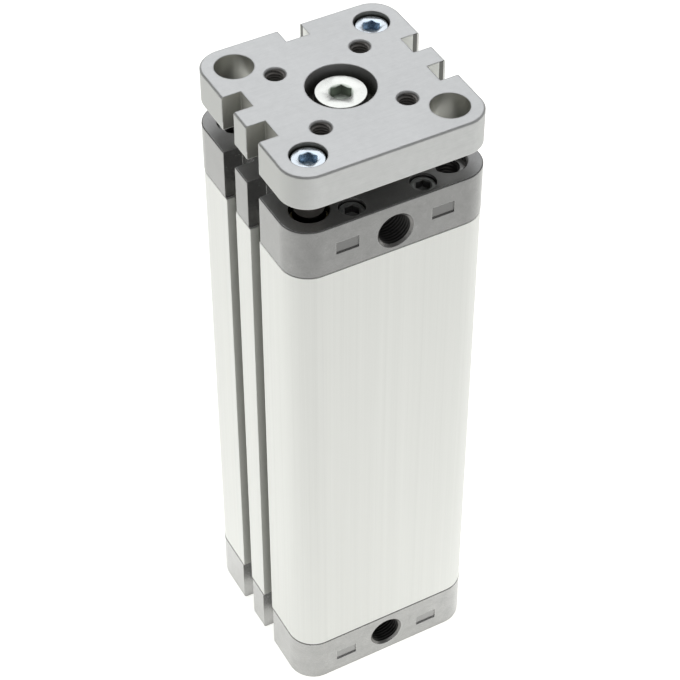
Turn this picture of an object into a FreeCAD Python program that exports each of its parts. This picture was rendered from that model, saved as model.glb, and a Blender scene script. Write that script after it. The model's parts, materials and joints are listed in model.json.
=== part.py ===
import FreeCAD, Part
import math
import os
import re
import Sketcher

# A guided compact pneumatic cylinder, drawn with its rod in.
# Millimetres. Origin in the middle of the rear face, +Z the way the rod comes out,
# -Y the face with the two air ports.

driving_sizes = {
    # Stroke and body
    "bore": 40.0,
    "stroke": 125.0,
    "dead_length": 45.0,
    "body_width": 54.5,
    "body_corner": 7.5,
    "hole_pitch": 38.0,
    "thread_gap": 0.03,
    "running_gap": 0.02,
    "seal_gap": 0.03,
    "seat_gap": 0.1,
    "overshoot": 1.0,
    # Channels and sensor slots of the barrel
    "guide_channel": 9.2,
    "slot_offset": 6.35,
    "slot_mouth": 5.0,
    "slot_width": 6.4,
    "slot_depth": 5.1,
    "slot_lip": 2.4,
    # Caps
    "cap_width": 54.7,
    "cap_corner": 7.6,
    "bearing_cap_height": 14.5,
    "end_cap_height": 15.6,
    "end_cap_rim": 1.0,
    "bearing_cap_rim": 0.4,
    "cap_joint_break": 0.4,
    "spigot_diameter": 39.9,
    "spigot_height": 2.85,
    "buffer_bed": 33.4,
    "buffer_height": 2.5,
    "buffer_opening": 24.0,
    "chamber_diameter": 22.0,
    "end_chamber_floor": 6.0,
    "front_chamber_floor": 10.0,
    "port_height": 8.2,
    "port_diameter": 9.73,
    "port_depth": 9.0,
    "port_rim": 0.2,
    "panel_offset": 13.1,
    "panel_level": 7.1,
    "panel_width": 6.2,
    "panel_height": 3.5,
    "panel_depth": 0.35,
    "passage_diameter": 4.0,
    "passage_height": 11.0,
    "mount_thread": 6.0,
    "mount_collar": 9.0,
    "mount_collar_depth": 2.1,
    "mount_collar_rim": 0.45,
    "ring_groove_floor": 37.2,
    "ring_groove_start": 0.5,
    "ring_groove_width": 1.9,
    # Screws of the caps
    "cap_screw_across": 9.7,
    "cap_screw_along": 23.1,
    "cap_screw_bed": 6.7,
    "cap_screw_bed_depth": 5.0,
    "cap_screw_clearance": 4.4,
    "cap_screw_head": 6.3,
    "cap_screw_head_height": 4.0,
    "cap_screw_shank": 4.0,
    "cap_screw_length": 21.5,
    "cap_screw_key": 3.5,
    "cap_screw_key_depth": 2.2,
    # Rod and guide bearings
    "rod_diameter": 12.0,
    "rod_bush_outside": 14.0,
    "rod_bush_length": 8.0,
    "rod_seal_bed": 18.0,
    "rod_seal_bed_depth": 3.5,
    "rod_seal_height": 2.9,
    "wiper_rise": 0.4,
    "lip_start": 0.2,
    "lip_land": 0.3,
    "lip_relief": 0.6,
    "lip_reach": 0.9,
    "guide_diameter": 8.0,
    "guide_bush_outside": 10.0,
    "guide_bush_length": 12.0,
    # Piston
    "stop_gap": 0.1,
    "piston_diameter": 39.6,
    "piston_boss": 32.0,
    "piston_flange": 0.6,
    "piston_land": 0.4,
    "seal_groove_width": 2.2,
    "seal_groove_floor": 34.0,
    "seal_cup_depth": 0.7,
    "seal_cup_lip": 1.1,
    "seal_waist": 0.5,
    "band_bed": 36.4,
    "band_half_width": 1.2,
    "magnet_inside": 23.0,
    "magnet_outside": 32.0,
    "magnet_half_height": 1.6,
    "rod_seat": 4.5,
    "rod_spigot": 8.0,
    "rod_spigot_length": 11.7,
    "rod_ring_pocket": 11.1,
    "rod_ring_depth": 1.5,
    "nut_bed": 16.0,
    "nut_web": 2.6,
    "nut_key": 13.0,
    "nut_height": 4.5,
    # Rod end
    "rod_flats": 10.0,
    "rod_flats_length": 5.0,
    "rod_flats_from_end": 0.8,
    "rod_thread_depth": 24.0,
    # Yoke plate and guide rods
    "plate_gap": 6.8,
    "plate_thickness": 9.8,
    "plate_width": 54.2,
    "plate_corner": 7.3,
    "plate_top_rim": 0.4,
    "plate_base_rim": 0.3,
    "notch_width": 6.4,
    "notch_depth": 5.2,
    "plate_thread": 5.0,
    "plate_thread_pitch": 23.3,
    "plate_thread_rim": 0.35,
    "access_diameter": 9.8,
    "yoke_bed": 17.5,
    "yoke_bed_depth": 6.5,
    "yoke_hole": 8.4,
    "guide_bed": 9.2,
    "guide_bed_depth": 6.1,
    "guide_hole": 5.3,
    "guide_socket_depth": 1.7,
    "guide_length_past_stroke": 25.5,
    "guide_thread_depth": 22.0,
    # Screws of the yoke plate
    "yoke_screw_head": 12.8,
    "yoke_screw_head_height": 4.8,
    "yoke_screw_shank": 8.0,
    "yoke_screw_length": 22.0,
    "yoke_screw_key": 5.0,
    "yoke_screw_key_depth": 2.8,
    "guide_screw_head": 8.4,
    "guide_screw_head_height": 5.0,
    "guide_screw_shank": 5.0,
    "guide_screw_length": 20.0,
    "guide_screw_key": 4.0,
    "guide_screw_key_depth": 2.6,
    # Edge breaks of turned pieces
    "head_break": 0.4,
    "tip_break": 0.6,
    "ring_break": 0.4,
    "rod_break": 0.8,
}

# Places worked out from the driving sizes
body_length = "(stroke + dead_length)"
barrel_length = "(stroke + dead_length - bearing_cap_height - end_cap_height)"
front_joint = "(stroke + dead_length - bearing_cap_height)"
plate_base = "(stroke + dead_length + plate_gap)"
piston_half = "((dead_length - bearing_cap_height - end_cap_height) / 2 - stop_gap)"
piston_split = f"(end_cap_height + stop_gap + {piston_half})"
rod_shoulder = f"({piston_split} + rod_seat)"
rod_length = f"({plate_base} - {rod_shoulder})"
guide_length = "(stroke + guide_length_past_stroke)"

vertical = FreeCAD.Vector(0, 0, 1)
right_side = FreeCAD.Vector(1, 0, 0)
back_side = FreeCAD.Vector(0, 1, 0)
signs = (-1, 1)
match = 1e-4  # two lengths this close are the same
guide_corners = {"near": (-1, -1), "far": (1, 1)}
open_corners = ((-1, 1), (1, -1))

doc = FreeCAD.newDocument("compact_cylinder")
sizes = doc.addObject("Spreadsheet::Sheet", "sizes")
for row, (alias, size) in enumerate(driving_sizes.items(), start=1):
    sizes.set(f"A{row}", alias)
    sizes.set(f"B{row}", str(size))
    sizes.setAlias(f"B{row}", alias)
doc.recompute()


# Formulas are written in the sheet's own words

def formula(text):
    return re.sub(r"[a-z_]+", lambda word: f"sizes.{word[0]}" if word[0] in driving_sizes else word[0], text)


def number(text):
    return float(sizes.evalExpression(formula(text)))


def bind(sketch, constraint, text):
    row = sketch.addConstraint(constraint)
    sketch.setExpression(f"Constraints[{row}]", formula(text))


# Sketches

def new_body(label):
    body = doc.addObject("PartDesign::Body", label)
    body.Label = label
    return body


def origin_plane(body, role):
    return next(feature for feature in body.Origin.OriginFeatures if feature.Role == role)


def new_sketch(body, name, role="XY_Plane", lift="0"):
    sketch = body.newObject("Sketcher::SketchObject", f"{body.Label}_{name}_sketch")
    sketch.AttachmentSupport = [(origin_plane(body, role), "")]
    sketch.MapMode = "FlatFace"
    sketch.setExpression("AttachmentOffset.Base.z", formula(lift))
    return sketch


def fix_point(sketch, item, point, across, along):
    bind(sketch, Sketcher.Constraint("DistanceX", -1, 1, item, point, number(across)), across)
    bind(sketch, Sketcher.Constraint("DistanceY", -1, 1, item, point, number(along)), along)


def outline(sketch, corners):
    spots = [FreeCAD.Vector(number(across), number(along), 0) for across, along in corners]
    lines = []
    for start, end in zip(spots, spots[1:] + spots[:1]):
        lines.append(sketch.addGeometry(Part.LineSegment(start, end)))
    for line, following in zip(lines, lines[1:] + lines[:1]):
        sketch.addConstraint(Sketcher.Constraint("Coincident", line, 2, following, 1))
    for line, (across, along) in zip(lines, corners):
        fix_point(sketch, line, 1, across, along)


def rectangle(sketch, left, right, low, high):
    outline(sketch, [(left, low), (right, low), (right, high), (left, high)])


def circle(sketch, across, along, diameter):
    middle = FreeCAD.Vector(number(across), number(along), 0)
    ring = sketch.addGeometry(Part.Circle(middle, vertical, number(diameter) / 2))
    fix_point(sketch, ring, 3, across, along)
    bind(sketch, Sketcher.Constraint("Diameter", ring, number(diameter)), diameter)


def corner_circles(sketch, corners, diameter):
    for across, along in corners:
        circle(sketch, f"{across} * hole_pitch / 2", f"{along} * hole_pitch / 2", diameter)


def hexagon(sketch, key):
    reach = f"{key} / sqrt(3)"
    outline(sketch, [(reach, "0"), (f"{reach} / 2", f"{key} / 2"), (f"-{reach} / 2", f"{key} / 2"),
                     (f"-{reach}", "0"), (f"-{reach} / 2", f"-{key} / 2"), (f"{reach} / 2", f"-{key} / 2")])


def rounded_square(sketch, width, corner):
    half = number(width) / 2
    radius = number(corner)
    flat = half - radius
    sides = []
    arcs = []
    for quarter in range(4):
        turn = FreeCAD.Rotation(vertical, 90 * quarter)
        start = turn.multVec(FreeCAD.Vector(-flat, -half, 0))
        end = turn.multVec(FreeCAD.Vector(flat, -half, 0))
        middle = turn.multVec(FreeCAD.Vector(flat, -flat, 0))
        swing = math.radians(90 * quarter)
        rim = Part.Circle(middle, vertical, radius)
        sides.append(sketch.addGeometry(Part.LineSegment(start, end)))
        arcs.append(sketch.addGeometry(Part.ArcOfCircle(rim, swing - math.pi / 2, swing)))
    for quarter in range(4):
        following = sides[(quarter + 1) % 4]
        sketch.addConstraint(Sketcher.Constraint("Tangent", sides[quarter], 2, arcs[quarter], 1))
        sketch.addConstraint(Sketcher.Constraint("Tangent", arcs[quarter], 2, following, 1))
        way, distance = ("Vertical", "DistanceX") if quarter % 2 else ("Horizontal", "DistanceY")
        sign = "-" if quarter in (0, 3) else ""
        reach = Sketcher.Constraint(distance, -1, 1, sides[quarter], 1, float(f"{sign}{half}"))
        sketch.addConstraint(Sketcher.Constraint(way, sides[quarter]))
        bind(sketch, reach, f"{sign}{width} / 2")
    for arc in arcs[1:]:
        sketch.addConstraint(Sketcher.Constraint("Equal", arcs[0], arc))
    bind(sketch, Sketcher.Constraint("Radius", arcs[0], radius), corner)


# Features

def pad(body, name, draw, height, lift="0"):
    sketch = new_sketch(body, name, lift=lift)
    draw(sketch)
    feature = body.newObject("PartDesign::Pad", f"{body.Label}_{name}")
    feature.Profile = sketch
    feature.setExpression("Length", formula(height))
    doc.recompute()
    return feature


def cut(body, name, draw, depth, lift="0", role="XY_Plane", upward=False):
    volume = body.Shape.Volume
    sketch = new_sketch(body, name, role, lift)
    draw(sketch)
    feature = body.newObject("PartDesign::Pocket", f"{body.Label}_{name}")
    feature.Profile = sketch
    feature.setExpression("Length", formula(depth))
    feature.Reversed = upward
    doc.recompute()
    if not body.Shape.Volume < volume:
        raise ValueError(f"{feature.Label} cuts nothing")
    return feature


def turn_section(body, kind, name, outlines):
    sketch = new_sketch(body, name, "XZ_Plane")
    for corners in outlines:
        outline(sketch, corners)
    feature = body.newObject(f"PartDesign::{kind}", f"{body.Label}_{name}")
    feature.Profile = sketch
    feature.ReferenceAxis = (sketch, ["V_Axis"])
    feature.Angle = 360
    doc.recompute()
    return feature


def break_edges(body, kind, name, level, size, diameter=None, way="Z"):
    base = body.Tip
    names = []
    for row, edge in enumerate(base.Shape.Edges, start=1):
        ends = (getattr(edge.BoundBox, f"{way}Min"), getattr(edge.BoundBox, f"{way}Max"))
        in_plane = max(abs(end - number(level)) for end in ends) < match
        radius = getattr(edge.Curve, "Radius", None)
        fits = diameter is None or (radius and abs(2 * radius - number(diameter)) < match)
        if in_plane and fits:
            names.append(f"Edge{row}")
    feature = body.newObject(f"PartDesign::{kind}", f"{body.Label}_{name}")
    feature.Base = (base, names)
    feature.setExpression("Radius" if kind == "Fillet" else "Size", formula(size))
    doc.recompute()


def turned(label, corners):
    body = new_body(label)
    turn_section(body, "Revolution", "section", [corners])
    return body


def place(item, across="0", along="0", up="0", flip=None):
    if flip:
        item.Placement = FreeCAD.Placement(FreeCAD.Vector(), FreeCAD.Rotation(flip, 180))
    for way, text in (("x", across), ("y", along), ("z", up)):
        item.setExpression(f"Placement.Base.{way}", formula(text))


def mirrored(item, name, normal):
    image = doc.addObject("Part::Mirroring", name)
    image.Source = item
    image.Normal = normal
    return image


def group(label, items):
    cluster = doc.addObject("Part::Compound", label)
    cluster.Label = label
    cluster.Links = items
    return cluster


# Barrel: an extruded profile with a bore, guide and screw channels, and five sensor slots

def slot_section(sketch, row):
    face = "-(body_width / 2)"
    mouth = f"{face} - overshoot"
    lip = f"{face} + slot_lip"
    floor = f"{face} + slot_depth"
    middle = f"{row} * slot_offset"
    outline(sketch, [(mouth, f"{middle} - slot_mouth / 2"), (lip, f"{middle} - slot_mouth / 2"),
                     (lip, f"{middle} - slot_width / 2"), (floor, f"{middle} - slot_width / 2"),
                     (floor, f"{middle} + slot_width / 2"), (lip, f"{middle} + slot_width / 2"),
                     (lip, f"{middle} + slot_mouth / 2"), (mouth, f"{middle} + slot_mouth / 2")])


def back_slot_section(sketch):
    face = "body_width / 2"
    mouth = f"{face} + overshoot"
    lip = f"{face} - slot_lip"
    floor = f"{face} - slot_depth"
    outline(sketch, [("-slot_mouth / 2", mouth), ("-slot_mouth / 2", lip), ("-slot_width / 2", lip),
                     ("-slot_width / 2", floor), ("slot_width / 2", floor), ("slot_width / 2", lip),
                     ("slot_mouth / 2", lip), ("slot_mouth / 2", mouth)])


def side_slots(sketch):
    for row in signs:
        slot_section(sketch, row)


def screw_circles(diameter):
    def draw(sketch):
        for across in signs:
            for along in signs:
                circle(sketch, f"{across} * cap_screw_across", f"{along} * cap_screw_along", diameter)
    return draw


def make_barrel():
    body = new_body("barrel")

    def profile(sketch):
        rounded_square(sketch, "body_width", "body_corner")
        circle(sketch, "0", "0", "bore")

    pad(body, "profile", profile, barrel_length)
    channel = cut(body, "guide_channel", lambda sketch: corner_circles(sketch, [(1, 1)], "guide_channel"),
                  barrel_length, upward=True)
    channels = body.newObject("PartDesign::PolarPattern", "barrel_guide_channels")
    channels.Originals = [channel]
    channels.Axis = (channel.Profile[0], ["N_Axis"])
    channels.Angle = 360
    channels.Occurrences = 4
    body.Tip = channels
    doc.recompute()
    cut(body, "screw_channels", screw_circles("cap_screw_shank + 2 * thread_gap"), barrel_length, upward=True)
    slots = cut(body, "left_slots", side_slots, barrel_length, upward=True)
    right_slots = body.newObject("PartDesign::Mirrored", "barrel_right_slots")
    right_slots.Originals = [slots]
    right_slots.MirrorPlane = (origin_plane(body, "YZ_Plane"), [""])
    body.Tip = right_slots
    doc.recompute()
    cut(body, "back_slot", back_slot_section, barrel_length, upward=True)
    place(body, up="end_cap_height")
    return body


# Caps, each drawn with its outer face at height 0 and its inner side up

def notches(width):
    def draw(sketch):
        edge = f"{width} / 2"
        for side in signs:
            for row in signs:
                middle = f"{row} * slot_offset"
                rectangle(sketch, f"{side} * ({edge} + overshoot)", f"{side} * ({edge} - notch_depth)",
                          f"{middle} - notch_width / 2", f"{middle} + notch_width / 2")
        rectangle(sketch, "-notch_width / 2", "notch_width / 2", f"{edge} - notch_depth",
                  f"{edge} + overshoot")
    return draw


def ring_groove(height):
    floor = "ring_groove_floor / 2"
    rim = "spigot_diameter / 2 + overshoot"
    low = f"{height} + ring_groove_start"
    high = f"{low} + ring_groove_width"
    return [(floor, low), (rim, low), (rim, high), (floor, high)]


def panel_outlines(sketch):
    for side in signs:
        middle = f"{side} * panel_offset"
        rectangle(sketch, f"{middle} - panel_width / 2", f"{middle} + panel_width / 2",
                  "panel_level - panel_height / 2", "panel_level + panel_height / 2")


def cap_blank(label, cavity):
    body = new_body(label)
    height = f"{label}_height"
    pad(body, "block", lambda sketch: rounded_square(sketch, "cap_width", "cap_corner"), height)
    break_edges(body, "Fillet", "rim", "0", f"{label}_rim")
    break_edges(body, "Chamfer", "joint_break", height, "cap_joint_break")
    pad(body, "spigot", lambda sketch: circle(sketch, "0", "0", "spigot_diameter"), "spigot_height",
        lift=height)
    cut(body, "notches", notches("cap_width"), height, upward=True)
    turn_section(body, "Groove", "cavity", [cavity, ring_groove(height)])
    cut(body, "port", lambda sketch: circle(sketch, "0", "port_height", "port_diameter"), "port_depth",
        lift="cap_width / 2", role="XZ_Plane")
    break_edges(body, "Chamfer", "port_rim", "-cap_width / 2", "port_rim", "port_diameter", way="Y")
    cut(body, "panels", panel_outlines, "panel_depth", lift="cap_width / 2", role="XZ_Plane")
    cut(body, "passage", lambda sketch: circle(sketch, "0", "passage_height", "passage_diameter"),
        "cap_width / 2 - port_depth - chamber_diameter / 2 + overshoot", lift="cap_width / 2 - port_depth",
        role="XZ_Plane")
    cut(body, "screw_holes", screw_circles("cap_screw_clearance"), height, upward=True)
    cut(body, "screw_beds", screw_circles("cap_screw_bed"), "cap_screw_bed_depth", upward=True)
    return body


def mount_holes(body, corners):
    cut(body, "mount_threads", lambda sketch: corner_circles(sketch, corners, "mount_thread"),
        f"{body.Label}_height", upward=True)
    cut(body, "mount_collars", lambda sketch: corner_circles(sketch, corners, "mount_collar"),
        "mount_collar_depth", upward=True)
    break_edges(body, "Chamfer", "collar_rims", "0", "mount_collar_rim", "mount_collar")


def buffer_steps(height):
    chamber = "chamber_diameter / 2"
    bed = "buffer_bed / 2"
    floor = f"{height} - buffer_height"
    end = f"{height} + spigot_height"
    return [(chamber, floor), (bed, floor), (bed, end), ("0", end)]


def make_end_cap():
    chamber = "chamber_diameter / 2"
    cavity = [("0", "end_chamber_floor"), (chamber, "end_chamber_floor"), *buffer_steps("end_cap_height")]
    body = cap_blank("end_cap", cavity)
    mount_holes(body, [(across, along) for across in signs for along in signs])
    place(body)
    return body


def make_bearing_cap():
    seal = "rod_seal_bed / 2"
    bush = "rod_bush_outside / 2"
    chamber = "chamber_diameter / 2"
    cavity = [("0", "0"), (seal, "0"), (seal, "rod_seal_bed_depth"), (bush, "rod_seal_bed_depth"),
              (bush, "front_chamber_floor"), (chamber, "front_chamber_floor"),
              *buffer_steps("bearing_cap_height")]
    body = cap_blank("bearing_cap", cavity)
    # The cap is turned over about Y, so its corners are drawn left for right.
    turned_corners = [(-across, along) for across, along in guide_corners.values()]
    cut(body, "guide_seats", lambda sketch: corner_circles(sketch, turned_corners, "guide_bush_outside"),
        "bearing_cap_height", upward=True)
    mount_holes(body, [(-across, along) for across, along in open_corners])
    place(body, up=body_length, flip=back_side)
    return body


# Screws, each drawn with the underside of its head at height 0 and the head up

def socket_screw(label, kind):
    head = f"{kind}_head / 2"
    head_top = f"{kind}_head_height"
    shank = f"{kind}_shank / 2"
    tip = f"-{kind}_length"
    body = turned(label, [("0", tip), (f"{shank} - tip_break", tip), (shank, f"{tip} + tip_break"),
                          (shank, "0"), (head, "0"), (head, f"{head_top} - head_break"),
                          (f"{head} - head_break", head_top), ("0", head_top)])
    cut(body, "key", lambda sketch: hexagon(sketch, f"{kind}_key"), f"{kind}_key_depth", lift=head_top)
    return body


def four_cap_screws(label, up, flip=None):
    screw = socket_screw(f"{label}_first", "cap_screw")
    place(screw, "cap_screw_across", "cap_screw_along", up, flip)
    left = mirrored(screw, f"{label}_second", right_side)
    front = mirrored(screw, f"{label}_third", back_side)
    opposite = mirrored(left, f"{label}_fourth", back_side)
    return group(label, [screw, left, front, opposite])


def make_guide_rod_screws():
    screw = socket_screw("guide_rod_screws_near", "guide_screw")
    place(screw, "-hole_pitch / 2", "-hole_pitch / 2", f"{plate_base} + plate_thickness - guide_bed_depth")
    opposite = mirrored(screw, "guide_rod_screws_far", right_side + back_side)
    return group("guide_rod_screws", [screw, opposite])


def make_yoke_screw():
    body = socket_screw("yoke_screw", "yoke_screw")
    place(body, up=f"{plate_base} + plate_thickness - yoke_bed_depth")
    return body


# Seals, bushes and buffers

def ring(label, inside, outside, height, edge="ring_break"):
    inner = f"({inside}) / 2"
    outer = f"({outside}) / 2"
    top = f"{height} - {edge}"
    return turned(label, [(inner, edge), (f"{inner} + {edge}", "0"), (f"{outer} - {edge}", "0"),
                          (outer, edge), (outer, top), (f"{outer} - {edge}", height),
                          (f"{inner} + {edge}", height), (inner, top)])


def make_cap_rings():
    width = "(ring_groove_width - 2 * seat_gap)"
    rings = []
    for label, up in (("rear_o_ring", "end_cap_height + ring_groove_start + seat_gap"),
                      ("front_o_ring", f"{front_joint} - ring_groove_start - seat_gap - {width}")):
        body = ring(label, "ring_groove_floor + 2 * seal_gap", "bore - 2 * seal_gap", width)
        place(body, up=up)
        rings.append(body)
    return rings


def make_buffers():
    buffers = []
    for label, up in (("rear_buffer", "end_cap_height - buffer_height"), ("front_buffer", front_joint)):
        body = ring(label, "buffer_opening", "buffer_bed - 2 * seat_gap", "buffer_height")
        place(body, up=up)
        buffers.append(body)
    return buffers


def make_rod_bush():
    body = ring("rod_bush", "rod_diameter + 2 * running_gap", "rod_bush_outside - 2 * running_gap",
                "rod_bush_length")
    place(body, up=f"{body_length} - rod_seal_bed_depth - rod_bush_length")
    return body


def make_rod_seal():
    lip = "rod_diameter / 2 + seal_gap"
    neck = f"{lip} + lip_relief"
    root = f"{lip} + lip_reach"
    outer = "rod_seal_bed / 2 - running_gap"
    top = "rod_seal_height"
    wiper = f"{top} + wiper_rise"
    body = turned("rod_seal", [(root, "0"), (outer, "0"), (outer, top), (root, top), (lip, wiper),
                               (lip, f"{wiper} - lip_land"), (neck, f"{top} - lip_relief"),
                               (neck, "2 * lip_relief"), (lip, "lip_start + lip_land"), (lip, "lip_start")])
    place(body, up=f"{body_length} - rod_seal_bed_depth")
    return body


def make_guide_bushes():
    bushes = []
    for side, (across, along) in guide_corners.items():
        body = ring(f"guide_bush_{side}", "guide_diameter + 2 * running_gap",
                    "guide_bush_outside - 2 * running_gap", "guide_bush_length")
        place(body, f"{across} * hole_pitch / 2", f"{along} * hole_pitch / 2", front_joint)
        bushes.append(body)
    return bushes


# Piston, drawn as two halves from the plane where they meet

def half_rim():
    land = "band_half_width + piston_land"
    groove_end = f"{land} + seal_groove_width"
    flange_end = f"{groove_end} + piston_flange"
    wide = "piston_diameter / 2"
    groove = "seal_groove_floor / 2"
    return [("magnet_inside / 2", "0"), ("magnet_inside / 2", "magnet_half_height"),
            ("magnet_outside / 2", "magnet_half_height"), ("magnet_outside / 2", "0"),
            ("band_bed / 2", "0"), ("band_bed / 2", "band_half_width"), (wide, "band_half_width"),
            (wide, land), (groove, land), (groove, groove_end), (wide, groove_end), (wide, flange_end),
            ("piston_boss / 2", flange_end), ("piston_boss / 2", piston_half)]


def make_piston_halves():
    hole = "rod_spigot / 2 + seat_gap / 2"
    nut = "nut_bed / 2"
    seat = "rod_diameter / 2 + seat_gap"
    pocket = "rod_ring_pocket / 2"
    front = turned("piston_front_half", half_rim() + [
        (seat, piston_half), (seat, "rod_seat"), (hole, "rod_seat"), (hole, "rod_ring_depth"),
        (pocket, "rod_ring_depth"), (pocket, "0")])
    rear = turned("piston_rear_half", half_rim() + [
        (nut, piston_half), (nut, "nut_web"), (hole, "nut_web"), (hole, "0")])
    place(front, up=piston_split)
    place(rear, up=piston_split, flip=right_side)
    return [front, rear]


def make_piston_seals():
    inner = "seal_groove_floor / 2 + seal_gap"
    rim = "bore / 2 - seal_gap"
    heel = "seat_gap"
    toe = "seal_groove_width - seat_gap"
    cup = f"{toe} - seal_cup_depth"
    waist = f"{rim} - seal_waist"
    section = [(inner, heel), (waist, heel), (waist, cup), (rim, f"{toe} - lip_land"),
               (f"{rim} - lip_land", toe), (f"{rim} - seal_cup_lip", cup), (f"{inner} + seal_cup_lip", cup),
               (inner, toe)]
    seals = []
    for label, side, flip in (("piston_front_seal", "", None), ("piston_rear_seal", "-", right_side)):
        body = turned(label, section)
        place(body, up=f"{piston_split} + {side}(band_half_width + piston_land)", flip=flip)
        seals.append(body)
    return seals


def make_piston_fillers():
    magnet = ring("piston_magnet", "magnet_inside + 2 * seat_gap", "magnet_outside - 2 * seat_gap",
                  "2 * magnet_half_height - seat_gap")
    band = ring("piston_guide_band", "band_bed + seat_gap", "bore - 4 * seal_gap",
                "2 * band_half_width - seat_gap", edge="ring_break / 2")
    seal = ring("piston_rod_o_ring", "rod_spigot + seat_gap", "rod_ring_pocket - seat_gap",
                "rod_ring_depth - seat_gap")
    place(magnet, up=f"{piston_split} - magnet_half_height + seat_gap / 2")
    place(band, up=f"{piston_split} - band_half_width + seat_gap / 2")
    place(seal, up=f"{piston_split} + seat_gap / 2")
    return [magnet, band, seal]


def make_piston_nut():
    body = new_body("piston_nut")
    pad(body, "hexagon", lambda sketch: hexagon(sketch, "nut_key"), "nut_height")
    cut(body, "thread", lambda sketch: circle(sketch, "0", "0", "rod_spigot + 2 * thread_gap"), "nut_height",
        upward=True)
    place(body, up=f"{piston_split} - nut_web - nut_height")
    return body


# Rods

def rod_flats(sketch):
    for side in signs:
        rectangle(sketch, f"{side} * rod_flats / 2", f"{side} * rod_diameter",
                  "-rod_diameter", "rod_diameter")


def make_piston_rod():
    spigot = "rod_spigot / 2"
    outer = "rod_diameter / 2"
    thread = "yoke_screw_shank / 2 + thread_gap"
    tail = "-rod_spigot_length"
    body = turned("piston_rod", [
        ("0", tail), (f"{spigot} - tip_break", tail), (spigot, f"{tail} + tip_break"), (spigot, "0"),
        (outer, "0"), (outer, f"{rod_length} - rod_break"), (f"{outer} - rod_break", rod_length),
        (thread, rod_length), (thread, f"{rod_length} - rod_thread_depth"),
        ("0", f"{rod_length} - rod_thread_depth - {thread} / 2")])
    cut(body, "flats", rod_flats, "rod_flats_length", lift=f"{rod_length} - rod_flats_from_end")
    place(body, up=rod_shoulder)
    return body


def make_guide_rods():
    outer = "guide_diameter / 2"
    thread = "guide_screw_shank / 2 + thread_gap"
    rods = []
    for side, (across, along) in guide_corners.items():
        body = turned(f"guide_rod_{side}", [
            ("0", "0"), (f"{outer} - rod_break", "0"), (outer, "rod_break"),
            (outer, f"{guide_length} - ring_break"), (f"{outer} - ring_break", guide_length),
            (thread, guide_length),
            (thread, f"{guide_length} - guide_thread_depth"),
            ("0", f"{guide_length} - guide_thread_depth - {thread} / 2")])
        place(body, f"{across} * hole_pitch / 2", f"{along} * hole_pitch / 2",
              f"{plate_base} + guide_socket_depth - {guide_length}")
        rods.append(body)
    return rods


# Yoke plate, drawn from its underside

def plate_thread_circles(sketch):
    for across in signs:
        for along in signs:
            circle(sketch, f"{across} * plate_thread_pitch / 2", f"{along} * plate_thread_pitch / 2",
                   "plate_thread")


def make_yoke_plate():
    body = new_body("yoke_plate")
    top = "plate_thickness"
    guides = list(guide_corners.values())
    pad(body, "block", lambda sketch: rounded_square(sketch, "plate_width", "plate_corner"), top)
    break_edges(body, "Chamfer", "top_rim", top, "plate_top_rim")
    break_edges(body, "Chamfer", "base_rim", "0", "plate_base_rim")
    cut(body, "notches", notches("plate_width"), top, upward=True)
    cut(body, "threads", plate_thread_circles, top, upward=True)
    break_edges(body, "Chamfer", "thread_rims", top, "plate_thread_rim", "plate_thread")
    cut(body, "access_holes", lambda sketch: corner_circles(sketch, open_corners, "access_diameter"), top,
        upward=True)
    cut(body, "yoke_hole", lambda sketch: circle(sketch, "0", "0", "yoke_hole"), top, upward=True)
    cut(body, "yoke_bed", lambda sketch: circle(sketch, "0", "0", "yoke_bed"), "yoke_bed_depth", lift=top)
    cut(body, "guide_holes", lambda sketch: corner_circles(sketch, guides, "guide_hole"), top, upward=True)
    cut(body, "guide_beds", lambda sketch: corner_circles(sketch, guides, "guide_bed"), "guide_bed_depth",
        lift=top)
    cut(body, "guide_sockets",
        lambda sketch: corner_circles(sketch, guides, "guide_diameter + 2 * running_gap"),
        "guide_socket_depth", upward=True)
    place(body, up=plate_base)
    return body


nodes = [
    make_barrel(),
    make_end_cap(),
    make_bearing_cap(),
    four_cap_screws("end_cap_screws", "cap_screw_bed_depth", flip=right_side),
    four_cap_screws("bearing_cap_screws", f"{body_length} - cap_screw_bed_depth"),
    *make_cap_rings(),
    *make_buffers(),
    make_rod_bush(),
    make_rod_seal(),
    *make_guide_bushes(),
    *make_piston_halves(),
    *make_piston_seals(),
    *make_piston_fillers(),
    make_piston_nut(),
    make_piston_rod(),
    *make_guide_rods(),
    make_yoke_plate(),
    make_yoke_screw(),
    make_guide_rod_screws(),
]
doc.recompute()

failed = [item.Label for item in doc.Objects if {"Invalid", "Error"} & set(item.State)]
failed += [node.Label for node in nodes if node.Shape.isNull() or not node.Shape.isValid()]
if failed:
    raise ValueError(f"not built: {failed}")

os.makedirs("parts", exist_ok=True)
for node in nodes:
    node.Shape.exportStep(f"parts/{node.Label}.step")
    print(f"{node.Label}: {len(node.Shape.Solids)} solid(s), {node.Shape.Volume:.1f} mm3")
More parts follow.
